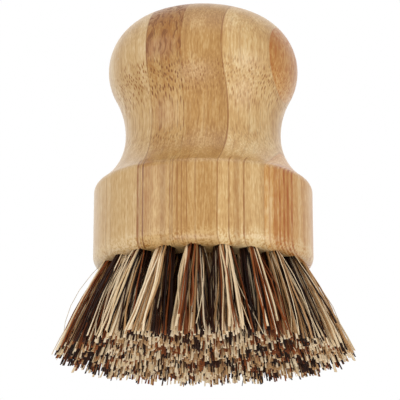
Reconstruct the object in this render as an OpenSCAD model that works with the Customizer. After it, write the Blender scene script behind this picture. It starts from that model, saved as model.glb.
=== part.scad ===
// Palm brush: a turned bamboo knob handle, laminated from six glued boards, with
// stiff plant-fibre tufts set in drilled holes that lean outwards ring by ring.
// +Z is up, and the origin is the middle of the flat disc that the bristle tips make.

/* [Handle] */
// Diameter of the base
base_d = 55; // [52:0.5:60]
// Height of the base's straight side, from the underside up
base_h = 19.4; // [16:0.2:26]
// Rounding of the base's lower edge
rim_round = 3; // [1.5:0.1:4]
// Rounding of the base's upper edge
shoulder_round = 2.5; // [1:0.1:4]
// Radius of the hollow from the shoulder up to the neck
neck_low_round = 16; // [12:0.5:20]
// Narrowest diameter of the neck
neck_d = 39.4; // [36:0.2:43]
// Radius of the hollow from the neck up to the knob
neck_high_round = 22; // [16:0.5:30]
// Widest diameter of the knob
knob_d = 48.4; // [46:0.2:54]
// Radius of the knob's side
knob_round = 14.2; // [11:0.1:17]
// Radius of the knob's crown
crown_round = 37; // [30:0.5:60]

/* [Lamination] */
// Thickness of the bamboo boards
board_t = 9.5; // [8:0.05:10.5]
// Sideways shift of the middle glue line from the turning axis
board_shift = 2.05; // [1:0.05:3]
// Turn of the boards about the turning axis, out of square with the front
board_turn = 18; // [0:0.5:30]

/* [Holes] */
// Diameter of the tuft holes
hole_d = 4.4; // [3.8:0.1:4.8]
// Depth of the tuft holes along their axes
hole_depth = 9.5; // [7:0.1:11]
// Holes in the outer ring
outer_count = 22; // [18:1:23]
// From the base's side in to the middles of the outer holes, on the underside
outer_inset = 4; // [3.6:0.1:5]
// From each ring of holes in to the next
ring_step = 7.8; // [7:0.1:8.2]
// Turn of the outer ring from the front
outer_turn = -5.5; // [-20:0.5:20]
// Holes in the middle ring
middle_count = 15; // [12:1:15]
// Turn of the middle ring from the front
middle_turn = 3.5; // [-20:0.5:20]
// Holes in the inner ring
inner_count = 7; // [5:1:7]
// Turn of the inner ring from the front
inner_turn = 10.5; // [-20:0.5:20]

/* [Fibres] */
// Height of the underside above the bristle tips
bristle_h = 22.7; // [18:0.1:28]
// Diameter of the disc that the trimmed tips fill
tip_d = 74; // [68:0.5:80]
// Strands in each tuft
strands = 10; // [7:1:10]
// Length of a strand inside its tuft's root, above the underside
root_grip = 1.5; // [1:0.1:3]
// Radius of a strand where it leaves its hole
strand_root_r = 0.4; // [0.3:0.01:0.42]
// Radius of a strand at its tip, where its fibres fan out
strand_tip_r = 0.8; // [0.5:0.05:0.8]
// Gap between the tips of neighbouring tufts
tip_gap = 0.2; // [0.1:0.05:0.6]
// How far a strand bows outwards halfway down
strand_bow = 0.5; // [0:0.1:1]
// Depth of the flat trim through the longest strands
trim_depth = 0.5; // [0.3:0.1:1]
// Spread of the strands' ends before the trim
end_spread = 1.3; // [0.6:0.1:2]

/* [Anchors] */
// Thickness of the anchor wire
anchor_t = 0.4; // [0.3:0.05:0.6]
// Height of the anchor wire
anchor_h = 1.8; // [1.4:0.1:2.4]
// Bite of an anchor into the wood on each side of its hole
anchor_bite = 0.25; // [0.1:0.05:0.3]
// Thickness of the folded fibres between an anchor and the hole's bottom
fold_t = 0.8; // [0.5:0.1:1.2]

/* [Fits] */
// Gap between a tuft's root and its hole, all round
root_fit = 0.05; // [0.02:0.01:0.1]
// Gap between an anchor and its slot, all round
anchor_fit = 0.02; // [0.01:0.01:0.05]

/* [Hidden] */
board_count = 6;
tuft_count = outer_count + middle_count + inner_count + 1;

// A ring is [name, count, pitch radius, turn, inner and outer radius of its patch of tips]
rings = [
    ["outer_tuft_", outer_count, ring_r(0), outer_turn, tip_edge(outer_count), tip_d / 2],
    ["middle_tuft_", middle_count, ring_r(1), middle_turn,
        tip_edge(outer_count + middle_count), tip_edge(outer_count)],
    ["inner_tuft_", inner_count, ring_r(2), inner_turn,
        tip_edge(outer_count + middle_count + inner_count), tip_edge(outer_count + middle_count)]
];
centre_ring = ["centre_tuft", 1, 0, 0, 0, tip_edge(tuft_count - 1)];

round_fn = 128;
hole_fn = 48;
hole_r = hole_d / 2;
// A cutter runs this far past the face that it opens
cut_past = 3;
golden_angle = 137.508;
// Shares of the bow: what chance adds or takes away, and what goes sideways
bow_chance = 0.2;
bow_sideways = 0.4;

bamboo_colours = ["#d9b27a", "#dfc08c", "#d6ab70", "#d3a868", "#e0c391", "#cf9f5c"];
fibre_colours = ["#2e2622", "#c9a877", "#7b4a32", "#d9c79c", "#4a342a", "#a97f52"];
wire_colour = "#b4b6b8";

// The handle's half profile, with z from the underside.
// Neighbouring arcs are tangent, so each level follows from the radii.
base_r = base_d / 2;
neck_r = neck_d / 2;
knob_centre_r = knob_d / 2 - knob_round;
shoulder_c = [base_r - shoulder_round, base_h];
neck_level = base_h + side(neck_low_round + shoulder_round, neck_r + neck_low_round - shoulder_c[0]);
neck_low_c = [neck_r + neck_low_round, neck_level];
neck_high_c = [neck_r + neck_high_round, neck_level];
knob_c = [knob_centre_r,
    neck_level + side(knob_round + neck_high_round, neck_high_c[0] - knob_centre_r)];
crown_c = [0, knob_c[1] - side(crown_round - knob_round, knob_centre_r)];
handle_h = crown_c[1] + crown_round;
rim_c = [base_r - rim_round, rim_round];
neck_z = bristle_h + neck_level;
top_z = bristle_h + handle_h + cut_past;

// The other short side of a right triangle
function side(long, short) = sqrt(long * long - short * short);
function heading(from, to) = atan2(to[1] - from[1], to[0] - from[0]);
function on_arc(c, r, angle) = c + r * [cos(angle), sin(angle)];

// Radius of the disc of tips left inside, with the outermost tufts taken off:
// every tuft trims to the same area
function tip_edge(outside) = tip_d / 2 * sqrt((tuft_count - outside) / tuft_count);

function ring_r(step) = base_d / 2 - outer_inset - step * ring_step;
function ring_mid(ring) = ring[1] == 1 ? 0 : (ring[4] + ring[5]) / 2;
function ring_half(ring) = ring[1] == 1 ? ring[5] : (ring[5] - ring[4]) / 2;
// A hole aims at the middle of its tuft's patch of tips
function lean(ring) = atan((ring_mid(ring) - ring[2]) / bristle_h);
function tuft_angle(ring, j) = ring[3] + 360 * (j - 1) / ring[1] - 90;

// A round sector, swept from one heading to the other
module sector(c, r, from, to) {
    steps = 4;
    reach = r / cos((to - from) / steps / 2) + 1;
    intersection() {
        translate(c) circle(r, $fn = round_fn);
        polygon(concat([c], [for (k = [0:steps]) on_arc(c, reach, from + (to - from) * k / steps)]));
    }
}

module handle_profile() {
    to_neck = heading(shoulder_c, neck_low_c);
    to_knob = heading(knob_c, neck_high_c);
    to_crown = heading(crown_c, knob_c);
    neck = [neck_r, neck_level];
    difference() {
        polygon([[0, 0], [rim_c[0], 0], rim_c, [base_r, rim_c[1]], [base_r, base_h], shoulder_c,
            on_arc(shoulder_c, shoulder_round, to_neck), neck_low_c, neck, [0, neck_level]]);
        translate(neck_low_c) circle(neck_low_round, $fn = round_fn);
    }
    difference() {
        polygon([[0, neck_level], neck, neck_high_c, on_arc(knob_c, knob_round, to_knob), knob_c,
            on_arc(knob_c, knob_round, to_crown), crown_c]);
        translate(neck_high_c) circle(neck_high_round, $fn = round_fn);
    }
    sector(rim_c, rim_round, -90, 0);
    sector(shoulder_c, shoulder_round, 0, to_neck);
    sector(knob_c, knob_round, to_knob, to_crown);
    sector(crown_c, crown_round, to_crown, 90);
}

module turned_handle() {
    translate([0, 0, bristle_h]) rotate_extrude($fn = round_fn) handle_profile();
}

// Moves its children to a hole's mouth, with their +Z along the hole's axis into the wood
module at_hole(ring, j) {
    rotate(tuft_angle(ring, j)) translate([ring[2], 0, bristle_h]) rotate([0, -lean(ring), 0]) children();
}

module at_every_hole() {
    for (ring = concat(rings, [centre_ring])) for (j = [1:ring[1]]) at_hole(ring, j) children();
}

// An anchor wire across the bottom of a hole, grown all round by a gap
module anchor(gap) {
    size = [anchor_t, hole_d + 2 * anchor_bite, anchor_h] + 2 * gap * [1, 1, 1];
    translate([-size[0] / 2, -size[1] / 2, hole_depth - fold_t - anchor_h - gap]) cube(size);
}

module drilled_hole() {
    translate([0, 0, -cut_past]) cylinder(r = hole_r, h = cut_past + hole_depth, $fn = hole_fn);
}

// Place of the glue line after board i, across the boards
function glue_line(i) = (i - board_count / 2) * board_t + board_shift;

// One glued board between two heights: a slice of the turned handle with its share of the holes
module board(i, low = 0, high = top_z) {
    first = i == 1 ? -base_d : glue_line(i - 1);
    last = i == board_count ? base_d : glue_line(i);
    color(bamboo_colours[i - 1]) difference() {
        intersection() {
            turned_handle();
            rotate(-board_turn) translate([first, -base_d, low]) cube([last - first, 2 * base_d, high - low]);
        }
        at_every_hole() {
            drilled_hole();
            anchor(anchor_fit);
        }
    }
}

module tuft_root(ring, j) {
    difference() {
        intersection() {
            at_hole(ring, j) translate([0, 0, -cut_past])
                cylinder(r = hole_r - root_fit, h = cut_past + hole_depth, $fn = hole_fn);
            translate([-base_d, -base_d, bristle_h]) cube([2 * base_d, 2 * base_d, handle_h]);
        }
        at_hole(ring, j) anchor(anchor_fit);
    }
}

// Place of strand i in the tuft, as a point of the unit disc: outwards, sideways
function seed_point(i) = on_arc([0, 0], sqrt((i + 0.5) / strands), i * golden_angle);

// Where strand i of a tuft passes, from 0 at its root to 1 at its tip, by height z
function root_point(ring, p) = let (room = hole_r - root_fit - strand_root_r)
    [ring[2] - root_grip * tan(lean(ring)) + p[0] * room / cos(lean(ring)), p[1] * room, bristle_h + root_grip];
function tip_point(ring, p, z) = let (
        inset = strand_tip_r + tip_gap / 2,
        half = ring_half(ring) - inset,
        r = ring_mid(ring) + p[0] * half,
        sweep = ring[1] == 1 ? 0 : p[1] * (180 / ring[1] - asin(inset / ring_mid(ring)))
    ) ring[1] == 1 ? [r, p[1] * half, z] : [r * cos(sweep), r * sin(sweep), z];

module strand(ring, j, i) {
    chance = rands(0, 1, 3, 1000 * ring[1] + 20 * j + i);
    p = seed_point(i);
    // The longest strands would reach below the flat disc, and are trimmed at it
    tip = tip_point(ring, p, max(0, end_spread * chance[0] - trim_depth));
    root = root_point(ring, p);
    outwards = ring[1] == 1 ? p : [1, bow_sideways * p[1]];
    bow = strand_bow * (1 + bow_chance * (2 * chance[1] - 1));
    waist = (root + tip) / 2 + [outwards[0] * bow, outwards[1] * bow, 0];
    path = [root, waist, tip];
    radii = [strand_root_r, (strand_root_r + strand_tip_r) / 2, strand_tip_r];
    turn = 120 * chance[2];
    points = [for (k = [0:2]) for (m = [0:2])
        path[k] + radii[k] * [cos(turn + 120 * m), sin(turn + 120 * m), 0]];
    sides = [for (k = [0, 3]) for (m = [0:2]) let (n = (m + 1) % 3)
        each [[k + m, k + n, k + 3 + n], [k + m, k + 3 + n, k + 3 + m]]];
    rotate(tuft_angle(ring, j)) polyhedron(points, concat([[0, 2, 1], [6, 7, 8]], sides));
}

module tuft(ring, j) {
    color(fibre_colours[(j * 5 + ring[1]) % len(fibre_colours)]) union() {
        tuft_root(ring, j);
        for (i = [0:strands - 1]) strand(ring, j, i);
    }
}

module tuft_anchors() {
    color(wire_colour) at_every_hole() anchor(0);
}

for (i = [1:board_count - 1]) board(i);
// The neck is narrower than the last glue line, so turning leaves the last board in two pieces
board(board_count, high = neck_z);
board(board_count, low = neck_z);
for (ring = rings) for (j = [1:ring[1]]) tuft(ring, j);
tuft(centre_ring, 1);  // centre_tuft
tuft_anchors();
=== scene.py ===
"""A palm brush: a turned bamboo knob handle with flaring tufts of mixed plant fibre.

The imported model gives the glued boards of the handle, which keep their own meshes and get a
bamboo finish. Each tuft is built here fibre by fibre and stands for its plainer solid.
Lengths are millimetres in the classes, and become metres where a mesh is made.
"""
import logging
import math
from dataclasses import dataclass, field
from enum import Enum, IntEnum

import bpy
import numpy as np
from mathutils import Matrix, Vector


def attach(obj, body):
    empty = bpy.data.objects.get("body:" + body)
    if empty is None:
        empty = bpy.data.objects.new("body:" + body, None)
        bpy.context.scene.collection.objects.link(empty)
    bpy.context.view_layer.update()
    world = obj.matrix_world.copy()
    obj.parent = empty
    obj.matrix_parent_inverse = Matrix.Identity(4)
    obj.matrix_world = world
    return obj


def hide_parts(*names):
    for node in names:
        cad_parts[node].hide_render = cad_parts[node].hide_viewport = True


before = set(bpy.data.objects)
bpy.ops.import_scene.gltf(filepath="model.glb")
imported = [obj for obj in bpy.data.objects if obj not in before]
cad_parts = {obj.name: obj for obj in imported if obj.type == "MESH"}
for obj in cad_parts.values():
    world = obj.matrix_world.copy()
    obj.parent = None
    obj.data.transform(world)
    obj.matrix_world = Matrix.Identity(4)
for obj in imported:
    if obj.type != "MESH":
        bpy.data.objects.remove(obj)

log = logging.getLogger("palm_brush")

MM = 0.001
BODY = "root"
PHOTO_PX = 400
SENSOR_MM = 36.0
GOLDEN_ANGLE = math.radians(137.508)

# A colour ramp's places from 0 to 1, each with its sRGB hex colour
Stops = tuple[tuple[float, str], ...]


def linear(hex_colour: str) -> tuple[float, float, float, float]:
    """Turn an sRGB hex colour to linear RGBA.

    Args:
        hex_colour: Six hex digits after a hash sign.

    Returns:
        Linear red, green and blue, and an alpha of 1.
    """
    channels = [int(hex_colour[k:k + 2], 16) / 255 for k in (1, 3, 5)]
    return (*[c / 12.92 if c <= 0.04045 else ((c + 0.055) / 1.055) ** 2.4 for c in channels], 1.0)


def add_node(tree: bpy.types.NodeTree, kind: str, settings: dict | None = None,
             links: dict | None = None, stops: Stops = ()) -> bpy.types.Node:
    """Add one shader node with its settings and links.

    Args:
        tree: The node tree that it goes into.
        kind: Blender's name of the node type.
        settings: Values by property name, or by input name or number.
        links: Output sockets by input name or number.
        stops: A colour ramp's stops.

    Returns:
        The new node.
    """
    node = tree.nodes.new(kind)
    for key, value in (settings or {}).items():
        if isinstance(key, str) and hasattr(node, key):
            setattr(node, key, value)
        else:
            node.inputs[key].default_value = value
    for key, socket in (links or {}).items():
        tree.links.new(socket, node.inputs[key])
    for _ in stops[2:]:
        node.color_ramp.elements.new(1.0)
    if stops:
        for element, (place, colour) in zip(node.color_ramp.elements, stops):
            element.position = place
            element.color = linear(colour)
    return node


def new_material(name: str) -> tuple[bpy.types.Material, bpy.types.NodeTree]:
    """Make an empty node material.

    Args:
        name: The material's name.

    Returns:
        The material and its cleared node tree.
    """
    material = bpy.data.materials.new(name)
    material.use_nodes = True
    material.node_tree.nodes.clear()
    return material, material.node_tree


def paint(node: bpy.types.Object, material: bpy.types.Material) -> None:
    """Put one material on every slot of a node's object.

    Args:
        node: The object.
        material: What it gets.
    """
    if not node.material_slots:
        node.data.materials.append(material)
    for slot in node.material_slots:
        slot.material = material


@dataclass(frozen=True)
class Stripe:
    """A soft-edged stripe, with its middle and width in mm and its strength."""

    middle: float
    width: float
    strength: float

    def draw(self, tree: bpy.types.NodeTree, across: bpy.types.NodeSocket) -> bpy.types.NodeSocket:
        """Draw the stripe in a material.

        Args:
            tree: The node tree.
            across: The coordinate that the stripe is measured along, in mm.

        Returns:
            The strength in the stripe and 0 beside it.
        """
        off = add_node(tree, "ShaderNodeMath", {"operation": "SUBTRACT", 1: self.middle}, {0: across})
        away = add_node(tree, "ShaderNodeMath", {"operation": "ABSOLUTE"}, {0: off.outputs[0]})
        return add_node(tree, "ShaderNodeMapRange",
                        {"interpolation_type": "SMOOTHSTEP", "From Min": self.width * 0.7,
                         "From Max": self.width * 0.3, "To Max": self.strength},
                        {"Value": away.outputs[0]}).outputs[0]


@dataclass(frozen=True)
class TurnedShape:
    """Where the handle's turned shape and its glue planes lie.

    Attributes:
        knob_r: Radius of the knob, in mm. Only the base reaches further out.
        rim: Heights in mm below which the rim's speckle is full, and above which it is gone.
        neck: Heights in mm between which the dots come in, above the sanded neck.
        sanding: The band of heights that the sanding rings show on.
        crown_z: Height in mm at which the knob's crown starts.
        board_t: Thickness of a board, in mm.
        shift: How far the middle glue plane lies from the axis, in mm.
        turn: Turn of the glue planes out of square with the front, in degrees.
    """

    knob_r: float = 24.2
    rim: tuple[float, float] = (24.5, 27.5)
    neck: tuple[float, float] = (49.0, 56.0)
    sanding: Stripe = Stripe(46.0, 22.0, 0.9)
    crown_z: float = 72.0
    board_t: float = 9.5
    shift: float = 2.05
    turn: float = 18.0

    def glue_line(self, number: int, count: int) -> float:
        """Place of the glue line after a board, across the boards from the axis.

        Args:
            number: The board's number, from 1.
            count: How many boards there are.

        Returns:
            The place in mm.
        """
        return (number - count / 2) * self.board_t + self.shift


@dataclass(frozen=True)
class Noise:
    """One layer of noise in the wood.

    Attributes:
        size: Size of its grains in mm: across the boards, along their faces and up the axis.
        shift: What sets it apart from the other layers.
        detail: How many finer layers it has.
    """

    size: tuple[float, float, float]
    shift: float
    detail: float = 2.0


@dataclass(frozen=True)
class Bamboo:
    """Laminated moso bamboo, turned and sanded, with a thin satin oil.

    Its dark fibre bundles run along the axis. A face along them shows fine lines, and a face across
    them shows the same bundles as dots, so one solid pattern gives lines on the base and dots on
    the round parts of the knob.

    Attributes:
        name: The material's name.
        pale: The ground's lightest tone.
        middle: Its middle tone.
        deep: Its deepest tone.
        bundle: The colour of the bundles, the streaks and the glue lines.
        seed: What sets this board's pattern apart from the others'.
        streak_share: How dark the streaks are that are scattered through the board.
        streaks: The bold streaks in the base's skin, placed across the boards from the axis.
        glue: How dark the left and the right glue line are.
        dots: How dark the bundles are on the knob; on one board it is raised to paint shade there as well.
        crown_figure_and_shade: How dark the figure on the crown is; on one board it is partly painted shade.
        bundle_spacing: Distance between bundles, in mm.
        bundle_width: Width of a bundle, in mm.
        glue_width: Width of a glue line, in mm.
        roughness: Roughness of the wood, a little less on the ground and more on the bundles.
        relief: Depth of the bundles and of the sanding rings, in mm.
    """

    name: str
    pale: str
    middle: str
    deep: str
    bundle: str
    seed: float
    streak_share: float = 0.5
    streaks: tuple[Stripe, ...] = ()
    glue: tuple[float, float] = (0.2, 0.2)
    dots: float = 0.7
    crown_figure_and_shade: float = 0.0
    bundle_spacing: float = 0.74
    bundle_width: float = 0.32
    glue_width: float = 0.34
    roughness: float = 0.38
    relief: float = 0.05

    # The layers of noise, sized from the real wood, and the weights of the ones that make the tone
    SWAYS = (Noise((16.0, 16.0, 45.0), 3.1, 1.0), Noise((16.0, 16.0, 45.0), 9.7, 1.0))
    SWAY_REACH = 2.4
    TONES = ((Noise((3.0, 6.0, 120.0), 5.3), 0.6), (Noise((0.34, 1.2, 40.0), 11.9), 0.55),
             (Noise((0.32, 0.32, 1.8), 17.1), 0.8), (Noise((3.0, 3.0, 7.0), 19.7), 0.4))
    BUNDLE_PATCHES = Noise((3.2, 3.2, 6.0), 21.3)
    STREAKS = Noise((0.55, 5.0, 150.0), 29.9, 1.0)
    STREAK_BREAKS = Noise((0.9, 0.9, 4.5), 37.0)
    SANDING = Noise((40.0, 40.0, 0.35), 41.0)
    GLUE_FADING = Noise((9.0, 9.0, 14.0), 53.0, 0.0)
    CROWN_EDGE = Noise((2.5, 2.5, 9.0), 61.0)
    CROWN_EDGE_REACH = 7.0
    FIGURE_SWAY = Noise((2.2, 2.2, 3.0), 71.0, 1.0)
    FIGURE_SWAY_REACH = 2.6
    FIGURE = Noise((0.62, 0.9, 3.4), 77.0, 1.0)
    RIM_SPECKLE = Noise((0.5, 0.5, 0.7), 83.0)

    def build(self, turned: TurnedShape, edges: tuple[float, float]) -> bpy.types.Material:
        """Make the material of one board.

        Args:
            turned: The handle's shape, which says where the grain is cut.
            edges: Where the board's glue lines are, across the boards from the axis, in mm.

        Returns:
            The material.
        """
        material, tree = new_material(self.name)
        coordinates = add_node(tree, "ShaderNodeTexCoord")
        scaled = add_node(tree, "ShaderNodeVectorMath", {"operation": "SCALE", "Scale": 1 / MM},
                          {0: coordinates.outputs["Object"]})
        # From here on x runs across the boards, which are turned out of square with the front
        mm = add_node(tree, "ShaderNodeVectorRotate",
                      {"rotation_type": "Z_AXIS", "Angle": math.radians(turned.turn)},
                      {"Vector": scaled.outputs[0]}).outputs[0]
        facing = add_node(tree, "ShaderNodeSeparateXYZ", links={0: coordinates.outputs["Normal"]})
        across_grain = add_node(tree, "ShaderNodeMath", {"operation": "ABSOLUTE"},
                                {0: facing.outputs[2]}).outputs[0]
        place = self._wander(tree, mm)
        # On the orange board the crown's darker figure also paints the shade on the knob's right side
        crown = self._crown(tree, mm, turned)
        ground = add_node(tree, "ShaderNodeValToRGB",
                          links={"Fac": self._tone(tree, mm, place, crown, turned)},
                          stops=((0.2, self.deep), (0.5, self.middle), (0.8, self.pale)))
        dots = add_node(tree, "ShaderNodeMath", {"operation": "MULTIPLY"},
                        {0: self._bundles(tree, place),
                         1: self._bundle_strength(tree, mm, across_grain, turned)})
        figure = add_node(tree, "ShaderNodeMath", {"operation": "MULTIPLY"},
                          {0: self._figure(tree, place), 1: crown})
        dark = add_node(tree, "ShaderNodeMath", {"operation": "MAXIMUM"},
                        {0: dots.outputs[0], 1: figure.outputs[0]}).outputs[0]
        colour = ground.outputs["Color"]
        for share in (self._streaks(tree, mm, place, turned), dark, *self._glue_lines(tree, mm, edges)):
            colour = add_node(tree, "ShaderNodeMix", {"data_type": "RGBA", 7: linear(self.bundle)},
                              {0: share, 6: colour}).outputs[2]
        relief = add_node(tree, "ShaderNodeMath", {"operation": "ADD"},
                          {0: dark, 1: self._sanding(tree, mm, turned)})
        bump = add_node(tree, "ShaderNodeBump",
                        {"Strength": 0.3, "Distance": self.relief * MM, "invert": True},
                        {"Height": relief.outputs[0]})
        rough = add_node(tree, "ShaderNodeMapRange",
                         {"To Min": self.roughness - 0.05, "To Max": self.roughness + 0.15},
                         {"Value": dark})
        shader = add_node(tree, "ShaderNodeBsdfPrincipled", {"IOR": 1.45},
                          {"Base Color": colour, "Roughness": rough.outputs[0], "Normal": bump.outputs[0]})
        add_node(tree, "ShaderNodeOutputMaterial", links={"Surface": shader.outputs[0]})
        return material

    def _noise(self, tree: bpy.types.NodeTree, place: bpy.types.NodeSocket,
               noise: Noise) -> bpy.types.NodeSocket:
        """Add a layer of noise whose grains have a real size each way.

        Args:
            tree: The material's node tree.
            place: A place in mm.
            noise: The layer.

        Returns:
            Noise around a half.
        """
        scaled = add_node(tree, "ShaderNodeVectorMath", {"operation": "DIVIDE", 1: noise.size}, {0: place})
        moved = add_node(tree, "ShaderNodeVectorMath",
                         {"operation": "ADD", 1: (self.seed, noise.shift, self.seed)},
                         {0: scaled.outputs[0]})
        return add_node(tree, "ShaderNodeTexNoise", {"Scale": 1.0, "Detail": noise.detail},
                        {"Vector": moved.outputs[0]}).outputs["Fac"]

    def _wander(self, tree: bpy.types.NodeTree, mm: bpy.types.NodeSocket) -> bpy.types.NodeSocket:
        """Bend the grain a little along its length.

        Args:
            tree: The material's node tree.
            mm: The place in mm.

        Returns:
            The bent place in mm.
        """
        across, along = (self._noise(tree, mm, sway) for sway in self.SWAYS)
        off = add_node(tree, "ShaderNodeCombineXYZ", links={0: across, 1: along})
        reach = add_node(tree, "ShaderNodeVectorMath", {"operation": "SCALE", "Scale": self.SWAY_REACH},
                         {0: off.outputs[0]})
        return add_node(tree, "ShaderNodeVectorMath", {"operation": "ADD"},
                        {0: mm, 1: reach.outputs[0]}).outputs[0]

    def _bundles(self, tree: bpy.types.NodeTree, place: bpy.types.NodeSocket) -> bpy.types.NodeSocket:
        """Lay out the dark fibre bundles, round across the grain and endless along it.

        Args:
            tree: The material's node tree.
            place: The bent place in mm.

        Returns:
            1 in a bundle and 0 in the pale ground.
        """
        cell = add_node(tree, "ShaderNodeVectorMath",
                        {"operation": "SCALE", "Scale": 1 / self.bundle_spacing}, {0: place})
        cells = add_node(tree, "ShaderNodeTexVoronoi",
                         {"voronoi_dimensions": "2D", "Scale": 1.0, "Randomness": 0.8},
                         {"Vector": cell.outputs[0]})
        edge = self.bundle_width / self.bundle_spacing / 2
        return add_node(tree, "ShaderNodeMapRange",
                        {"interpolation_type": "SMOOTHSTEP", "From Min": edge * 1.5, "From Max": edge * 0.5},
                        {"Value": cells.outputs["Distance"]}).outputs[0]

    def _crown(self, tree: bpy.types.NodeTree, mm: bpy.types.NodeSocket,
               turned: TurnedShape) -> bpy.types.NodeSocket:
        """Find the knob's crown, where some boards show a darker figure; on one board that darkening is also
        painted shade.

        Args:
            tree: The material's node tree.
            mm: The place in mm.
            turned: The handle's shape.

        Returns:
            This board's share of the figure on the crown, partly painted shade on one board, and 0 below it.
        """
        height = add_node(tree, "ShaderNodeSeparateXYZ", links={0: mm}).outputs[2]
        ragged = self._noise(tree, mm, self.CROWN_EDGE)
        level = add_node(tree, "ShaderNodeMath", {"operation": "MULTIPLY_ADD", 1: self.CROWN_EDGE_REACH},
                         {0: ragged, 2: height})
        return add_node(tree, "ShaderNodeMapRange",
                        {"From Min": turned.crown_z, "From Max": turned.crown_z + 5,
                         "To Max": self.crown_figure_and_shade}, {"Value": level.outputs[0]}).outputs[0]

    def _figure(self, tree: bpy.types.NodeTree, place: bpy.types.NodeSocket) -> bpy.types.NodeSocket:
        """Draw the crown's figure: dark lines that waver along the grain.

        Args:
            tree: The material's node tree.
            place: The bent place in mm.

        Returns:
            1 in a line and 0 beside it.
        """
        off = add_node(tree, "ShaderNodeCombineXYZ", links={0: self._noise(tree, place, self.FIGURE_SWAY)})
        moved = add_node(tree, "ShaderNodeVectorMath",
                         {"operation": "SCALE", "Scale": self.FIGURE_SWAY_REACH}, {0: off.outputs[0]})
        bent = add_node(tree, "ShaderNodeVectorMath", {"operation": "ADD"}, {0: place, 1: moved.outputs[0]})
        return add_node(tree, "ShaderNodeMapRange", {"From Min": 0.5, "From Max": 0.62},
                        {"Value": self._noise(tree, bent.outputs[0], self.FIGURE)}).outputs[0]

    def _bundle_strength(self, tree: bpy.types.NodeTree, mm: bpy.types.NodeSocket,
                         across_grain: bpy.types.NodeSocket, turned: TurnedShape) -> bpy.types.NodeSocket:
        """Show the bundles most on the belt of the knob and on its top, and least on the sanded neck.

        Args:
            tree: The material's node tree.
            mm: The place in mm.
            across_grain: 1 where the surface lies across the grain.
            turned: The handle's shape.

        Returns:
            How dark the bundles are.
        """
        cut = add_node(tree, "ShaderNodeMapRange",
                       {"From Min": 0.0, "From Max": 0.3, "To Min": 0.3, "To Max": 1.0},
                       {"Value": across_grain})
        patches = add_node(tree, "ShaderNodeMapRange",
                           {"From Min": 0.3, "From Max": 0.7, "To Min": 0.35, "To Max": 1.3},
                           {"Value": self._noise(tree, mm, self.BUNDLE_PATCHES)})
        height = add_node(tree, "ShaderNodeSeparateXYZ", links={0: mm}).outputs[2]
        above = add_node(tree, "ShaderNodeMapRange",
                         {"From Min": turned.neck[0], "From Max": turned.neck[1],
                          "To Min": 0.12, "To Max": self.dots}, {"Value": height})
        belt = add_node(tree, "ShaderNodeMapRange",
                        {"From Min": turned.crown_z - 3, "From Max": turned.crown_z + 2,
                         "To Min": 1.0, "To Max": 0.25}, {"Value": height})
        top = add_node(tree, "ShaderNodeMapRange", {"From Min": 0.85, "From Max": 0.97, "To Max": 0.8},
                       {"Value": across_grain})
        seen = add_node(tree, "ShaderNodeMath", {"operation": "MAXIMUM"},
                        {0: belt.outputs[0], 1: top.outputs[0]})
        grain, zone = (add_node(tree, "ShaderNodeMath", {"operation": "MULTIPLY"},
                                {0: one.outputs[0], 1: other.outputs[0]})
                       for one, other in ((cut, patches), (above, seen)))
        return add_node(tree, "ShaderNodeMath", {"operation": "MULTIPLY"},
                        {0: grain.outputs[0], 1: zone.outputs[0]}).outputs[0]

    def _tone(self, tree: bpy.types.NodeTree, mm: bpy.types.NodeSocket, place: bpy.types.NodeSocket,
              crown: bpy.types.NodeSocket, turned: TurnedShape) -> bpy.types.NodeSocket:
        """Shade the ground along the grain, deeper in the crown's figure, which on one board is also painted
        shade, pale and speckled at the rim.

        Args:
            tree: The material's node tree.
            mm: The place in mm.
            place: The bent place in mm.
            crown: The crown's figure, which on one board is also painted shade.
            turned: The handle's shape.

        Returns:
            A tone from 0, deep, to 1, pale.
        """
        # The tone deepens in the crown's figure, which on the orange board also stands for painted shade
        total = add_node(tree, "ShaderNodeMath", {"operation": "MULTIPLY_ADD", 1: -0.35, 2: 0.5},
                         {0: crown}).outputs[0]
        for noise, weight in self.TONES:
            layer = add_node(tree, "ShaderNodeMath",
                             {"operation": "MULTIPLY_ADD", 1: weight, 2: -weight / 2},
                             {0: self._noise(tree, place, noise)})
            total = add_node(tree, "ShaderNodeMath", {"operation": "ADD"},
                             {0: total, 1: layer.outputs[0]}).outputs[0]
        height = add_node(tree, "ShaderNodeSeparateXYZ", links={0: mm}).outputs[2]
        rim = add_node(tree, "ShaderNodeMapRange", {"From Min": turned.rim[1], "From Max": turned.rim[0]},
                       {"Value": height})
        sanded = add_node(tree, "ShaderNodeMapRange",
                          {"From Min": 0.3, "From Max": 0.65, "To Min": -0.15, "To Max": 0.5},
                          {"Value": self._noise(tree, mm, self.RIM_SPECKLE)})
        return add_node(tree, "ShaderNodeMath", {"operation": "MULTIPLY_ADD"},
                        {0: rim.outputs[0], 1: sanded.outputs[0], 2: total}).outputs[0]

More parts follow.
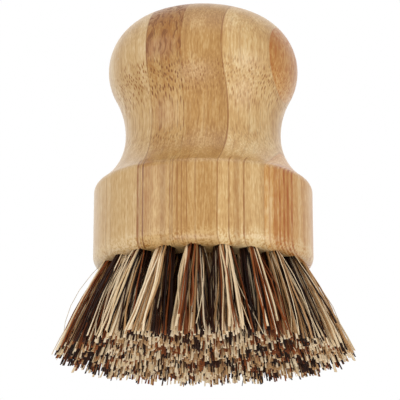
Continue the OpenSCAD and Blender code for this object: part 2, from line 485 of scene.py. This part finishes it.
    def _streaks(self, tree: bpy.types.NodeTree, mm: bpy.types.NodeSocket, place: bpy.types.NodeSocket,
                 turned: TurnedShape) -> bpy.types.NodeSocket:
        """Draw the brown streaks: a scatter through the board, and the bold ones in the base's skin.

        Args:
            tree: The material's node tree.
            mm: The place in mm.
            place: The bent place in mm.
            turned: The handle's shape.

        Returns:
            How dark the streaks are.
        """
        total = add_node(tree, "ShaderNodeMapRange",
                         {"From Min": 0.6, "From Max": 0.72, "To Max": self.streak_share},
                         {"Value": self._noise(tree, place, self.STREAKS)}).outputs[0]
        broken = add_node(tree, "ShaderNodeMapRange", {"From Min": 0.35, "From Max": 0.6, "To Min": 0.5},
                          {"Value": self._noise(tree, place, self.STREAK_BREAKS)})
        level = add_node(tree, "ShaderNodeVectorMath", {"operation": "MULTIPLY", 1: (1, 1, 0)}, {0: mm})
        radius = add_node(tree, "ShaderNodeVectorMath", {"operation": "LENGTH"}, {0: level.outputs[0]})
        skin = add_node(tree, "ShaderNodeMapRange",
                        {"From Min": turned.knob_r + 0.4, "From Max": turned.knob_r + 1.4},
                        {"Value": radius.outputs["Value"]})
        across = add_node(tree, "ShaderNodeSeparateXYZ", links={0: mm}).outputs[0]
        for streak in self.streaks:
            line = add_node(tree, "ShaderNodeMath", {"operation": "MULTIPLY"},
                            {0: streak.draw(tree, across), 1: skin.outputs[0]})
            total = add_node(tree, "ShaderNodeMath", {"operation": "MAXIMUM"},
                             {0: total, 1: line.outputs[0]}).outputs[0]
        return add_node(tree, "ShaderNodeMath", {"operation": "MULTIPLY"},
                        {0: total, 1: broken.outputs[0]}).outputs[0]

    def _sanding(self, tree: bpy.types.NodeTree, mm: bpy.types.NodeSocket,
                 turned: TurnedShape) -> bpy.types.NodeSocket:
        """Leave the faint rings that sanding left round the neck.

        Args:
            tree: The material's node tree.
            mm: The place in mm.
            turned: The handle's shape.

        Returns:
            Their depth.
        """
        height = add_node(tree, "ShaderNodeSeparateXYZ", links={0: mm}).outputs[2]
        return add_node(tree, "ShaderNodeMath", {"operation": "MULTIPLY"},
                        {0: self._noise(tree, mm, self.SANDING),
                         1: turned.sanding.draw(tree, height)}).outputs[0]

    def _glue_lines(self, tree: bpy.types.NodeTree, mm: bpy.types.NodeSocket,
                    edges: tuple[float, float]) -> list[bpy.types.NodeSocket]:
        """Find the board's two glue lines, which fade in and out along their length.

        Args:
            tree: The material's node tree.
            mm: The place in mm.
            edges: Where the glue lines are, across the boards, in mm.

        Returns:
            How dark each line is.
        """
        across = add_node(tree, "ShaderNodeSeparateXYZ", links={0: mm}).outputs[0]
        fading = add_node(tree, "ShaderNodeMapRange",
                          {"From Min": 0.3, "From Max": 0.55, "To Min": 0.35, "To Max": 1.0},
                          {"Value": self._noise(tree, mm, self.GLUE_FADING)})
        return [add_node(tree, "ShaderNodeMath", {"operation": "MULTIPLY"},
                         {0: Stripe(edge, self.glue_width, strength).draw(tree, across),
                          1: fading.outputs[0]}).outputs[0]
                for edge, strength in zip(edges, self.glue)]


@dataclass(frozen=True)
class PlantFibre:
    """Dressed plant fibre, stiff and dry, with a faint waxy sheen along each strand.

    Attributes:
        name: The material's name.
        stops: The fibre's colours, from its darkest tone to its palest.
        roughness: Roughness of a strand.
        shine: Strength of its sheen, where 0.5 is plain.
        streak_width: Width of a streak on a strand, in mm: four times the real one, so that it shows.
        streak_length: Length of a streak, in mm.
    """

    name: str
    stops: Stops
    roughness: float = 0.55
    shine: float = 0.5
    streak_width: float = 0.48
    streak_length: float = 5.0

    def build(self) -> bpy.types.Material:
        """Make the material, with a tone for each fibre and fine streaks along it."""
        material, tree = new_material(self.name)
        tone = add_node(tree, "ShaderNodeAttribute", {"attribute_name": "tone"}).outputs["Fac"]
        place = add_node(tree, "ShaderNodeTexCoord").outputs["Object"]
        per_metre = (1 / self.streak_width / MM, 1 / self.streak_width / MM, 1 / self.streak_length / MM)
        grain = add_node(tree, "ShaderNodeVectorMath", {"operation": "MULTIPLY", 1: per_metre}, {0: place})
        noise = add_node(tree, "ShaderNodeTexNoise", {"Scale": 1.0, "Detail": 2.0},
                         {"Vector": grain.outputs[0]})
        shift = add_node(tree, "ShaderNodeMapRange", {"To Min": -0.2, "To Max": 0.2},
                         {"Value": noise.outputs["Fac"]})
        total = add_node(tree, "ShaderNodeMath", {"operation": "ADD", "use_clamp": True},
                         {0: tone, 1: shift.outputs[0]})
        colour = add_node(tree, "ShaderNodeValToRGB", links={"Fac": total.outputs[0]}, stops=self.stops)
        shader = add_node(tree, "ShaderNodeBsdfPrincipled",
                          {"Roughness": self.roughness, "IOR": 1.5, "Specular IOR Level": self.shine},
                          {"Base Color": colour.outputs["Color"]})
        add_node(tree, "ShaderNodeOutputMaterial", links={"Surface": shader.outputs[0]})
        return material


@dataclass(frozen=True)
class GalvanisedWire:
    """Flat zinc-coated steel wire, rolled and cut, dull grey with a soft glint.

    Attributes:
        name: The material's name.
        dull: The zinc's darker grey.
        bright: Its lighter grey.
    """

    name: str = "galvanised_anchor_wire"
    dull: str = "#8f9294"
    bright: str = "#a9acae"

    def build(self) -> bpy.types.Material:
        """Make the material, with the zinc's faint mottling, 1 mm wide, in its colour and roughness."""
        material, tree = new_material(self.name)
        place = add_node(tree, "ShaderNodeTexCoord").outputs["Object"]
        noise = add_node(tree, "ShaderNodeTexNoise", {"Scale": 1 / MM, "Detail": 3.0}, {"Vector": place})
        colour = add_node(tree, "ShaderNodeValToRGB", links={"Fac": noise.outputs["Fac"]},
                          stops=((0.3, self.dull), (0.7, self.bright)))
        rough = add_node(tree, "ShaderNodeMapRange", {"To Min": 0.3, "To Max": 0.5},
                         {"Value": noise.outputs["Fac"]})
        shader = add_node(tree, "ShaderNodeBsdfPrincipled", {"Metallic": 1.0},
                          {"Base Color": colour.outputs["Color"], "Roughness": rough.outputs[0]})
        add_node(tree, "ShaderNodeOutputMaterial", links={"Surface": shader.outputs[0]})
        return material


@dataclass
class Handle:
    """The turned handle: six glued boards, each with its own piece of bamboo.

    Attributes:
        turned: Where its turned shape and its glue planes lie.
        boards: The boards, from the left to the right.
    """

    turned: TurnedShape = TurnedShape()
    boards: tuple[Bamboo, ...] = (
        Bamboo("bamboo_left_outer", "#dcc296", "#ceac7a", "#ba905a", "#986630", seed=1.7, streak_share=0.25,
               streaks=(Stripe(-18.3, 0.4, 0.45),)),
        Bamboo("bamboo_left", "#dcc094", "#c8a46f", "#b28950", "#905a24", seed=21.6, streak_share=0.2,
               streaks=(Stripe(-16.5, 0.35, 0.3), Stripe(-8.0, 0.65, 1.0)), glue=(0.2, 0.3), dots=1.15),
        Bamboo("bamboo_figured", "#cfab74", "#b88d52", "#a26c2e", "#75400c", seed=4.3, streak_share=0.3,
               streaks=(Stripe(-6.6, 0.45, 0.9), Stripe(-1.3, 1.5, 0.3), Stripe(0.5, 0.25, 0.6),
                        Stripe(1.1, 0.25, 0.6)), glue=(0.5, 0.1), dots=1.2, crown_figure_and_shade=0.8),
        Bamboo("bamboo_middle", "#d0ab74", "#b98c51", "#a0713a", "#8a541e", seed=8.9, streak_share=0.35,
               streaks=(Stripe(2.3, 0.3, 0.6), Stripe(3.4, 0.3, 0.65), Stripe(4.6, 0.3, 0.6),
                        Stripe(6.6, 0.35, 0.5)), glue=(0.1, 0.8), dots=0.75),
        Bamboo("bamboo_right", "#e6ca97", "#d1a96f", "#b88a52", "#96602a", seed=12.4, streak_share=0.3,
               streaks=(Stripe(14.0, 0.35, 0.85), Stripe(15.6, 1.3, 0.45), Stripe(17.1, 0.35, 0.9)),
               glue=(0.8, 0.3), dots=0.85),
        # The orange board's stronger dots and its crown figure also paint the shade on the knob's right side
        Bamboo("bamboo_orange", "#e4c28c", "#d09c58", "#b4752c", "#a85a10", seed=15.8, streak_share=0.35,
               streaks=(Stripe(24.4, 3.6, 0.22), Stripe(22.0, 0.3, 0.5), Stripe(23.1, 0.7, 0.6),
                        Stripe(23.8, 0.34, 0.95), Stripe(24.5, 0.34, 0.95), Stripe(25.1, 0.34, 1.0),
                        Stripe(25.7, 0.28, 0.9)), glue=(0.3, 0.2), dots=0.9, crown_figure_and_shade=0.55),
    )

    def dress(self) -> None:
        """Give each board's node its bamboo. The last board is two nodes, of the same number."""
        count = len(self.boards)
        woods = []
        for number, bamboo in enumerate(self.boards, start=1):
            edges = (self.turned.glue_line(number - 1, count), self.turned.glue_line(number, count))
            woods.append(bamboo.build(self.turned, edges))
        for name in (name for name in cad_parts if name.startswith("board_")):
            wood = woods[int(name.split("_")[1]) - 1]
            paint(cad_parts[name], wood)
            log.info("%s dressed as %s", name, wood.name)


class Fibre(IntEnum):
    """The colours of fibre. Cream and tan are tampico, russet and black are bassine."""

    CREAM = 0
    TAN = 1
    RUSSET = 2
    BLACK = 3


class Lock(Enum):
    """Which fibres make up one part of a tuft: shares of cream, tan, russet and black."""

    CREAM = (0.74, 0.14, 0.04, 0.08)
    TAN = (0.22, 0.5, 0.14, 0.14)
    RUSSET = (0.05, 0.1, 0.7, 0.15)
    BLACK = (0.03, 0.04, 0.11, 0.82)
    MIXED = (0.32, 0.18, 0.2, 0.3)


# The outer tufts that show at the front, each from its left to its right
FRONT_LOCKS = {
    1: (Lock.CREAM, Lock.RUSSET, Lock.MIXED, Lock.BLACK),
    2: (Lock.BLACK, Lock.MIXED, Lock.CREAM, Lock.BLACK),
    3: (Lock.BLACK, Lock.MIXED, Lock.RUSSET, Lock.RUSSET),
    4: (Lock.TAN, Lock.BLACK, Lock.BLACK),
    5: (Lock.BLACK, Lock.CREAM, Lock.MIXED),
    6: (Lock.MIXED, Lock.TAN, Lock.BLACK),
    18: (Lock.BLACK, Lock.RUSSET, Lock.MIXED),
    19: (Lock.BLACK, Lock.MIXED, Lock.RUSSET),
    20: (Lock.RUSSET, Lock.BLACK, Lock.MIXED),
    21: (Lock.TAN, Lock.CREAM, Lock.BLACK),
    22: (Lock.CREAM, Lock.CREAM, Lock.BLACK, Lock.BLACK),
}


@dataclass
class TuftRing:
    """One ring of tufts, with the places of its holes and of its part of the trimmed tips.

    Attributes:
        name: What its nodes' names start with.
        count: How many tufts it has.
        pitch_r: Radius of the ring of holes, in mm.
        turn: Heading of the first tuft from the front, in degrees.
        inner: Inner radius of its tips, in mm.
        outer: Outer radius of its tips, in mm.
        locks: The locks of the tufts that have their own, by number.
    """

    name: str
    count: int
    pitch_r: float
    turn: float
    inner: float
    outer: float
    locks: dict[int, tuple[Lock, ...]] = field(default_factory=dict)

    @property
    def middle(self) -> float:
        """Radius of the middle of the ring's tips."""
        return 0.0 if self.count == 1 else (self.inner + self.outer) / 2

    @property
    def half(self) -> float:
        """Half the width of the ring's tips, or the radius of a patch in the middle."""
        return self.outer if self.count == 1 else (self.outer - self.inner) / 2

    def node(self, number: int) -> str:
        """Name of the tuft's node.

        Args:
            number: The tuft's number in its ring, from 1.

        Returns:
            The node's name.
        """
        return self.name if self.count == 1 else f"{self.name}_{number}"

    def angle(self, number: int) -> float:
        """Heading of a tuft from the axis, in radians from +X.

        Args:
            number: The tuft's number in its ring, from 1.

        Returns:
            The heading.
        """
        return math.radians(self.turn + 360 * (number - 1) / self.count - 90)


@dataclass
class Brush:
    """The set of tufts, each fibre a bent tube from its hole to the flat trim.

    Attributes:
        bristle_h: Height of the handle's underside over the tips, in mm.
        tip_r: Radius of the disc of trimmed tips, in mm.
        hole_r: Radius of a tuft's hole, in mm.
        counts: Tufts in the outer, middle and inner ring.
        pitch_rs: Radii of those rings of holes, in mm.
        turns: Headings of their first tufts, in degrees.
        fibres: Fibres in a tuft.
        strays: Thin fibres of a tuft that bow out of it.
        sides: Sides of a fibre.
        rings: Rings of points along a fibre.
        light_width: Least and most width of a cream or tan fibre, in mm.
        dark_width: Least and most width of a russet or black fibre, in mm.
        stray_width: Width of a stray, in mm.
        flatness: Least and most thickness of a fibre, as a share of its width.
        root_swell: Width of a fibre at its root, as a share of its width below the tip.
        tip_swell: Width at its tip, which the shears crush a little wider.
        root_grip: How far a fibre starts up its hole, in mm.
        tip_fill: How much of its patch of tips a tuft fills.
        jitter: Spread of the tips about their even places, in half widths of the patch.
        reach: Furthest place of a tip from the middle of its patch, in half widths.
        stray_root: Place of the strays' roots, in half widths of the hole.
        stray_reach: How many times further sideways the strays' tips lie.
        overhang: How far tips may pass tip_r, in mm.
        trim_rise: Mean height of the tips over the trim in mm, before the lowest are cut to it.
        ragged: Spread of that height, in mm.
        short_share: Share of the fibres that are short.
        short_rise: By how much the short ones are shorter, in mm.
        bow: Spread of the fibres' sideways bow, in mm.
        stray_bow: Spread of the strays' bow, in mm.
        wave: Spread of the finer wave along a fibre, in mm.
        half_waves: Half waves along a fibre.
        flare: How far a tuft's fibres bow outwards, in mm.
        lock_shares: How often a tuft out of sight has each lock.
        colour_cells: Clumps of one colour in a tuft.
        cell_grip: Share of the fibres that take their clump's colour.
        stray_kinds: The colours that strays are chosen from.
        upper_tones: Least and most tone of a cream or russet fibre.
        lower_tones: Least and most tone of a tan or black fibre.
        seed: Where the random numbers start.
    """

    bristle_h: float = 22.7
    tip_r: float = 37.0
    hole_r: float = 2.2
    counts: tuple[int, int, int] = (22, 15, 7)
    pitch_rs: tuple[float, float, float] = (23.5, 15.7, 7.9)
    turns: tuple[float, float, float] = (-5.5, 3.5, 10.5)
    fibres: int = 72
    strays: int = 4
    sides: int = 5
    rings: int = 7
    light_width: tuple[float, float] = (0.38, 0.72)
    dark_width: tuple[float, float] = (0.3, 0.52)
    stray_width: float = 0.2
    flatness: tuple[float, float] = (0.5, 0.95)
    root_swell: float = 0.88
    tip_swell: float = 1.15
    root_grip: float = 2.5
    tip_fill: float = 0.98
    jitter: float = 0.26
    reach: float = 1.12
    stray_root: float = 0.9
    stray_reach: float = 1.5
    overhang: float = 0.3
    trim_rise: float = 0.35
    ragged: float = 0.9
    short_share: float = 0.07
    short_rise: tuple[float, float] = (1.5, 4.0)
    bow: float = 0.46
    stray_bow: float = 1.5
    wave: float = 0.13
    half_waves: int = 3
    flare: float = 0.35
    lock_shares: tuple[float, ...] = (0.25, 0.18, 0.12, 0.24, 0.21)
    colour_cells: int = 16
    cell_grip: float = 0.55
    stray_kinds: tuple[Fibre, ...] = (Fibre.CREAM, Fibre.CREAM, Fibre.CREAM, Fibre.BLACK)
    upper_tones: tuple[float, float] = (0.58, 1.0)
    lower_tones: tuple[float, float] = (0.0, 0.42)
    seed: int = 20

    # A fibre's strip of the map: the gap beside it, and the heights and size of its two ends
    STRIP_GAP = 0.1
    TIP_LEVEL = 0.95
    ROOT_LEVEL = 0.99
    END_WIDTH = 0.3
    END_HEIGHT = 0.008

    def tuft_rings(self) -> list[TuftRing]:
        """Work out the rings, with the same area of trimmed tips for each tuft."""
        total = sum(self.counts) + 1
        names = ("outer_tuft", "middle_tuft", "inner_tuft")
        made, outside = [], 0
        for name, count, pitch_r, turn in zip(names, self.counts, self.pitch_rs, self.turns):
            outer = self.tip_r * math.sqrt((total - outside) / total)
            outside += count
            inner = self.tip_r * math.sqrt((total - outside) / total)
            made.append(TuftRing(name, count, pitch_r, turn, inner, outer))
        made[0].locks = FRONT_LOCKS
        made.append(TuftRing("centre_tuft", 1, 0.0, 0.0, 0.0, made[-1].inner))
        return made

    def build(self, materials: list[bpy.types.Material]) -> None:
        """Build every tuft and put it in the place of its solid.

        Args:
            materials: Light fibre, dark fibre, light cut end and dark cut end.
        """
        chance = np.random.default_rng(self.seed)
        for ring in self.tuft_rings():
            for number in range(1, ring.count + 1):
                node = ring.node(number)
                locks = ring.locks.get(number) or tuple(chance.choice(list(Lock), 3, p=self.lock_shares))
                tuft = self._tuft(f"{node}_fibres", ring, number, locks, chance)
                for material in materials:
                    tuft.data.materials.append(material)
                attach(tuft, BODY)
                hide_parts(node)
                log.info("%s: %d fibres, %s", node, self.fibres + self.strays,
                         ", ".join(lock.name for lock in locks))

    def _seeds(self, chance: np.random.Generator) -> np.ndarray:
        """Spread a tuft's fibres over the unit disc: outwards and sideways, the strays last.

        Args:
            chance: The source of random numbers.

        Returns:
            One point for each fibre.
        """
        order = np.arange(self.fibres)
        radius = np.sqrt((order + 0.5) / self.fibres)
        turn = order * GOLDEN_ANGLE
        even = np.stack([radius * np.cos(turn), radius * np.sin(turn)], axis=1)
        heading = chance.uniform(0, math.tau, self.strays)
        rim = self.stray_root * np.stack([np.cos(heading), np.sin(heading)], axis=1)
        return np.concatenate([even, rim])

    def _kinds(self, seeds: np.ndarray, locks: tuple[Lock, ...], chance: np.random.Generator) -> np.ndarray:
        """Choose each fibre's colour, mostly the same as that of the fibres beside it.

        Args:
            seeds: The fibres' places in the unit disc.
            locks: The parts of the tuft, from its left to its right.
            chance: The source of random numbers.

        Returns:
            The Fibre of each.
        """
        def kind_at(side: float) -> int:
            """Choose a colour from the lock at a place from -1, left, to 1, right."""
            lock = locks[min(int((side + 1) / 2 * len(locks)), len(locks) - 1)]
            return chance.choice(len(Fibre), p=lock.value)

        radius = np.sqrt(chance.random(self.colour_cells))
        heading = chance.uniform(0, math.tau, self.colour_cells)
        cells = np.stack([radius * np.cos(heading), radius * np.sin(heading)], axis=1)
        cell_kinds = [kind_at(cell[1]) for cell in cells]
        kinds = np.empty(len(seeds), dtype=int)
        for i, seed in enumerate(seeds):
            nearest = int(np.argmin(np.sum((cells - seed) ** 2, axis=1)))
            kinds[i] = cell_kinds[nearest] if chance.random() < self.cell_grip else kind_at(seed[1])
        kinds[self.fibres:] = chance.choice(self.stray_kinds, self.strays)
        return kinds

    def _widths(self, kinds: np.ndarray, chance: np.random.Generator) -> np.ndarray:
        """Choose each fibre's width: the light ones are the thicker.

        Args:
            kinds: The Fibre of each.
            chance: The source of random numbers.

        Returns:
            The widths in mm.
        """
        light = kinds < Fibre.RUSSET
        low = np.where(light, self.light_width[0], self.dark_width[0])
        high = np.where(light, self.light_width[1], self.dark_width[1])
        widths = chance.uniform(low, high)
        widths[self.fibres:] = self.stray_width
        return widths

    def _paths(self, ring: TuftRing, seeds: np.ndarray, chance: np.random.Generator) -> np.ndarray:
        """Lay out the fibres of one tuft in its own frame, outwards along +X.

        Args:
            ring: The tuft's ring.
            seeds: The fibres' places in the unit disc.
            chance: The source of random numbers.

        Returns:
            Points by fibre and step, in mm.
        """
        n = len(seeds)
        stray = np.arange(n) >= self.fibres
        room = self.hole_r - self.light_width[1] / 2
        lean = math.atan((ring.middle - ring.pitch_r) / self.bristle_h)
        root = np.stack([
            ring.pitch_r - self.root_grip * math.tan(lean) + seeds[:, 0] * room / math.cos(lean),
            seeds[:, 1] * room,
            np.full(n, self.bristle_h + self.root_grip),
        ], axis=1)
        spot = np.clip(seeds + chance.normal(0, self.jitter, (n, 2)), -self.reach, self.reach)
        spot[stray, 1] *= self.stray_reach
        half = ring.half * self.tip_fill
        if ring.count == 1:
            tip_x, tip_y = spot[:, 0] * half, spot[:, 1] * half
        else:
            r = np.minimum(ring.middle + spot[:, 0] * half, self.tip_r + self.overhang)
            sweep = spot[:, 1] * math.pi / ring.count * self.tip_fill
            tip_x, tip_y = r * np.cos(sweep), r * np.sin(sweep)
        short = (chance.random(n) < self.short_share) * chance.uniform(*self.short_rise, n)
        tip_z = np.maximum(0, chance.normal(self.trim_rise, self.ragged, n)) + short
        tip = np.stack([tip_x, tip_y, tip_z], axis=1)
        t = np.linspace(0, 1, self.rings)[None, :, None]
        level = np.zeros((n, 1))
        bow = chance.normal(0, 1, (n, 2)) * np.where(stray, self.stray_bow, self.bow)[:, None]
        wave = chance.normal(0, self.wave, (n, 2))
        side = np.concatenate([bow, level], axis=1)[:, None, :] * np.sin(math.pi * t)
        ripple = np.concatenate([wave, level], axis=1)[:, None, :] * np.sin(self.half_waves * math.pi * t)
        flare = self.flare * np.sin(math.pi * t) * np.array([1.0, 0, 0])
        return root[:, None, :] * (1 - t) + tip[:, None, :] * t + side + ripple + flare

    def _tuft(self, name: str, ring: TuftRing, number: int, locks: tuple[Lock, ...],
              chance: np.random.Generator) -> bpy.types.Object:
        """Build one tuft as one mesh.

        Args:
            name: The piece's name.
            ring: The tuft's ring.
            number: The tuft's number in its ring.
            locks: The parts of the tuft, from its left to its right.
            chance: The source of random numbers.

        Returns:
            The tuft's object.
        """
        seeds = self._seeds(chance)
        kinds = self._kinds(seeds, locks, chance)
        widths = self._widths(kinds, chance)
        points = self._paths(ring, seeds, chance)
        verts = self._tubes(points, widths, chance)
        turned = verts.reshape(-1, 3) @ np.array(Matrix.Rotation(ring.angle(number), 3, "Z")).T
        turned[:, 2] = np.maximum(turned[:, 2], 0)
        return self._mesh(name, turned * MM, kinds, chance)

    def _tubes(self, points: np.ndarray, widths: np.ndarray, chance: np.random.Generator) -> np.ndarray:
        """Put a flattened ring of points round each step of each fibre.

        Args:
            points: The fibres' paths.
            widths: The fibres' widths.
            chance: The source of random numbers.

        Returns:
            Points by fibre, step and side, in mm.
        """
        n = len(points)
        along = points[:, -1] - points[:, 0]
        along /= np.linalg.norm(along, axis=1)[:, None]
        across = np.cross(along, np.array([0.0, 1.0, 0.0]))
        across /= np.linalg.norm(across, axis=1)[:, None]
        other = np.cross(along, across)
        spin = chance.uniform(0, math.tau, n)
        flat = chance.uniform(*self.flatness, n)
        turn = np.arange(self.sides) * math.tau / self.sides
        wide = np.cos(turn)[None, :] * widths[:, None] / 2
        deep = np.sin(turn)[None, :] * (widths * flat)[:, None] / 2
        a = wide * np.cos(spin)[:, None] - deep * np.sin(spin)[:, None]
        b = wide * np.sin(spin)[:, None] + deep * np.cos(spin)[:, None]
        section = a[:, :, None] * across[:, None, :] + b[:, :, None] * other[:, None, :]
        swell = np.append(np.linspace(self.root_swell, 1.0, self.rings - 1), self.tip_swell)
        verts = points[:, :, None, :] + section[:, None, :, :] * swell[None, :, None, None]
        # The shears cut every end flat, whichever way its fibre leans
        drop = (points[:, -1, 2][:, None] - verts[:, -1, :, 2]) / along[:, 2][:, None]
        verts[:, -1] += drop[:, :, None] * along[:, None, :]
        return verts

    def _mesh(self, name: str, verts: np.ndarray, kinds: np.ndarray,
              chance: np.random.Generator) -> bpy.types.Object:
        """Turn a tuft's points to a mesh with its fibres' tones and a strip of its map for each.

        Args:
            name: The piece's name.
            verts: All points, by fibre, step and side.
            kinds: The Fibre of each.
            chance: The source of random numbers.

        Returns:
            The tuft's object.
        """
        n, steps, sides = len(kinds), self.rings, self.sides
        faces, uvs, slots = [], [], []
        per = steps * sides
        upper = (kinds == Fibre.CREAM) | (kinds == Fibre.RUSSET)
        tones = np.where(upper, chance.uniform(*self.upper_tones, n), chance.uniform(*self.lower_tones, n))
        strip = [self.STRIP_GAP + (1 - 2 * self.STRIP_GAP) * m / sides for m in range(sides + 1)]
        for i in range(n):
            dark = int(kinds[i] >= Fibre.RUSSET)
            base = i * per
            for k in range(steps - 1):
                low, high = k / steps, (k + 1) / steps
                here, above = base + k * sides, base + (k + 1) * sides
                for m in range(sides):
                    nxt = (m + 1) % sides
                    faces.append((here + m, here + nxt, above + nxt, above + m))
                    left, right = (i + strip[m]) / n, (i + strip[m + 1]) / n
                    uvs += [(left, low), (right, low), (right, high), (left, high)]
                    slots.append(dark)
            last = base + (steps - 1) * sides
            for start, order, level in ((last, range(sides), self.TIP_LEVEL),
                                        (base, range(sides - 1, -1, -1), self.ROOT_LEVEL)):
                faces.append(tuple(start + m for m in order))
                uvs += [((i + 0.5 + self.END_WIDTH * math.cos(m)) / n, level + self.END_HEIGHT * math.sin(m))
                        for m in order]
                slots.append(2 + dark)
        mesh = bpy.data.meshes.new(name)
        mesh.from_pydata(verts.tolist(), [], faces)
        layer = mesh.uv_layers.new(name="OFBake")
        layer.data.foreach_set("uv", np.array(uvs, dtype=np.float32).ravel())
        mesh.polygons.foreach_set("material_index", slots)
        mesh.polygons.foreach_set("use_smooth", [slot < 2 for slot in slots])
        tone = mesh.attributes.new("tone", "FLOAT", "POINT")
        tone.data.foreach_set("value", np.repeat(tones, per).astype(np.float32))
        mesh.update()
        piece = bpy.data.objects.new(name, mesh)
        bpy.context.scene.collection.objects.link(piece)
        return piece


@dataclass(frozen=True)
class SoftBox:
    """A square lamp that faces the brush, with its place and side in mm and its power in watts."""

    name: str
    place: tuple[float, float, float]
    side: float
    power: float

    def build(self, aim: Vector) -> None:
        """Add the lamp.

        Args:
            aim: What it faces, in metres.
        """
        data = bpy.data.lights.new(self.name, "AREA")
        data.shape = "SQUARE"
        data.size = self.side * MM
        data.energy = self.power
        lamp = bpy.data.objects.new(self.name, data)
        lamp.location = Vector(self.place) * MM
        lamp.rotation_euler = (aim - lamp.location).to_track_quat("-Z", "Y").to_euler()
        bpy.context.scene.collection.objects.link(lamp)


@dataclass
class Studio:
    """The white studio, with the photograph's low camera.

    Attributes:
        camera_back: How far in front of the axis the camera stands, in mm.
        camera_low: Its height over the tips, in mm.
        camera_side: How far it stands to the right of the axis, in mm.
        pitch: How far it looks up, in degrees.
        focal_px: Its focal length in pixels of the photograph.
        sight: How far it sees, in metres.
        floor_half: Half the floor's side, in mm.
        aim_h: Height in mm that the lamps face.
        fill: Strength of the world's light.
        boxes: The lamps.
    """

    camera_back: float = 457.9
    camera_low: float = -89.0
    camera_side: float = -0.82
    pitch: float = 15.84
    focal_px: float = 1889.0
    sight: float = 20.0
    floor_half: float = 1500.0
    aim_h: float = 40.0
    fill: float = 0.45
    boxes: tuple[SoftBox, ...] = (
        SoftBox("soft_box_left", (-600, -450, 260), 500, 1.9),
        SoftBox("soft_box_right", (570, -400, -60), 350, 1.35),
        SoftBox("soft_box_low", (-120, -520, -420), 450, 1.9),
        SoftBox("soft_box_top", (60, -260, 640), 500, 0.8),
        SoftBox("soft_box_back", (0, 760, 420), 1400, 1.6),
    )

    def camera(self) -> None:
        """Place the camera below the tips, looking up at the brush."""
        data = bpy.data.cameras.new("camera")
        data.sensor_width = SENSOR_MM
        data.lens = self.focal_px * SENSOR_MM / PHOTO_PX
        data.clip_end = self.sight
        camera = bpy.data.objects.new("camera", data)
        camera.location = Vector((self.camera_side, -self.camera_back, self.camera_low)) * MM
        camera.rotation_euler = (math.radians(90 + self.pitch), 0, 0)
        bpy.context.scene.collection.objects.link(camera)
        bpy.context.scene.camera = camera

    def world(self) -> None:
        """Make the world white where it is seen, and a softer white as light."""
        world = bpy.data.worlds.new("studio_white")
        world.use_nodes = True
        tree = world.node_tree
        tree.nodes.clear()
        path = add_node(tree, "ShaderNodeLightPath")
        seen = path.outputs["Is Camera Ray"]
        for name in ("Is Glossy Ray", "Is Transmission Ray"):
            seen = add_node(tree, "ShaderNodeMath", {"operation": "MAXIMUM"},
                            {0: seen, 1: path.outputs[name]}).outputs[0]
        level = add_node(tree, "ShaderNodeMapRange", {"To Min": self.fill, "To Max": 1.0}, {"Value": seen})
        sky = add_node(tree, "ShaderNodeBackground", {"Color": linear("#ffffff")},
                       {"Strength": level.outputs[0]})
        add_node(tree, "ShaderNodeOutputWorld", links={"Surface": sky.outputs[0]})
        bpy.context.scene.world = world

    def floor(self) -> None:
        """Lay a pale floor under the tips, open to a camera that looks up from below it.

        Half its white is its own, for the camera alone, so that it stays pale and keeps the shadow.
        """
        mesh = bpy.data.meshes.new("floor")
        s = self.floor_half * MM
        mesh.from_pydata([(-s, -s, 0), (s, -s, 0), (s, s, 0), (-s, s, 0)], [], [(0, 1, 2, 3)])
        floor = bpy.data.objects.new("floor", mesh)
        bpy.context.scene.collection.objects.link(floor)
        material, tree = new_material("floor_white")
        path = add_node(tree, "ShaderNodeLightPath")
        under = add_node(tree, "ShaderNodeNewGeometry").outputs["Backfacing"]
        above = add_node(tree, "ShaderNodeMath", {"operation": "SUBTRACT", "use_clamp": True},
                         {0: path.outputs["Is Camera Ray"], 1: under})
        lit = add_node(tree, "ShaderNodeBsdfDiffuse", {"Color": linear("#fbfbfb")})
        glow = add_node(tree, "ShaderNodeEmission", {"Color": linear("#ffffff"), "Strength": 1.0})
        paper = add_node(tree, "ShaderNodeMixShader", {0: 0.5}, {1: lit.outputs[0], 2: glow.outputs[0]})
        clear = add_node(tree, "ShaderNodeBsdfTransparent")
        mix = add_node(tree, "ShaderNodeMixShader",
                       links={0: above.outputs[0], 1: clear.outputs[0], 2: paper.outputs[0]})
        add_node(tree, "ShaderNodeOutputMaterial", links={"Surface": mix.outputs[0]})
        floor.data.materials.append(material)

    def build(self) -> None:
        """Set up the camera, the light and the floor."""
        bpy.context.scene.view_settings.view_transform = "Standard"
        self.camera()
        self.world()
        for box in self.boxes:
            box.build(Vector((0, 0, self.aim_h)) * MM)
        self.floor()
        log.info("studio ready")


def main() -> None:
    """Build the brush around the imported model."""
    logging.basicConfig(level=logging.INFO, format="%(name)s: %(message)s")
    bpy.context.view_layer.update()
    Studio().build()
    Handle().dress()
    wire = GalvanisedWire().build()
    paint(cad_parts["tuft_anchors"], wire)
    log.info("tuft_anchors dressed as %s", wire.name)
    # Dark fibre hardly shines, and the cut ends of both are matt and a little paler than their sides
    finishes = (
        PlantFibre("tampico_fibre",
                   ((0.0, "#8f6638"), (0.42, "#c39560"), (0.6, "#dabd90"), (1.0, "#f8e1bd"))),
        PlantFibre("bassine_fibre",
                   ((0.0, "#110602"), (0.42, "#35190b"), (0.6, "#5a2c13"), (1.0, "#955026")), shine=0.12),
        PlantFibre("tampico_cut_end",
                   ((0.0, "#cd9a60"), (0.5, "#eac698"), (1.0, "#ffeaca")), roughness=0.8),
        PlantFibre("bassine_cut_end",
                   ((0.0, "#1e0f08"), (0.42, "#402314"), (0.6, "#8f5228"), (1.0, "#b9743f")),
                   roughness=0.8, shine=0.12),
    )
    Brush().build([finish.build() for finish in finishes])


if __name__ == "__main__":
    main()
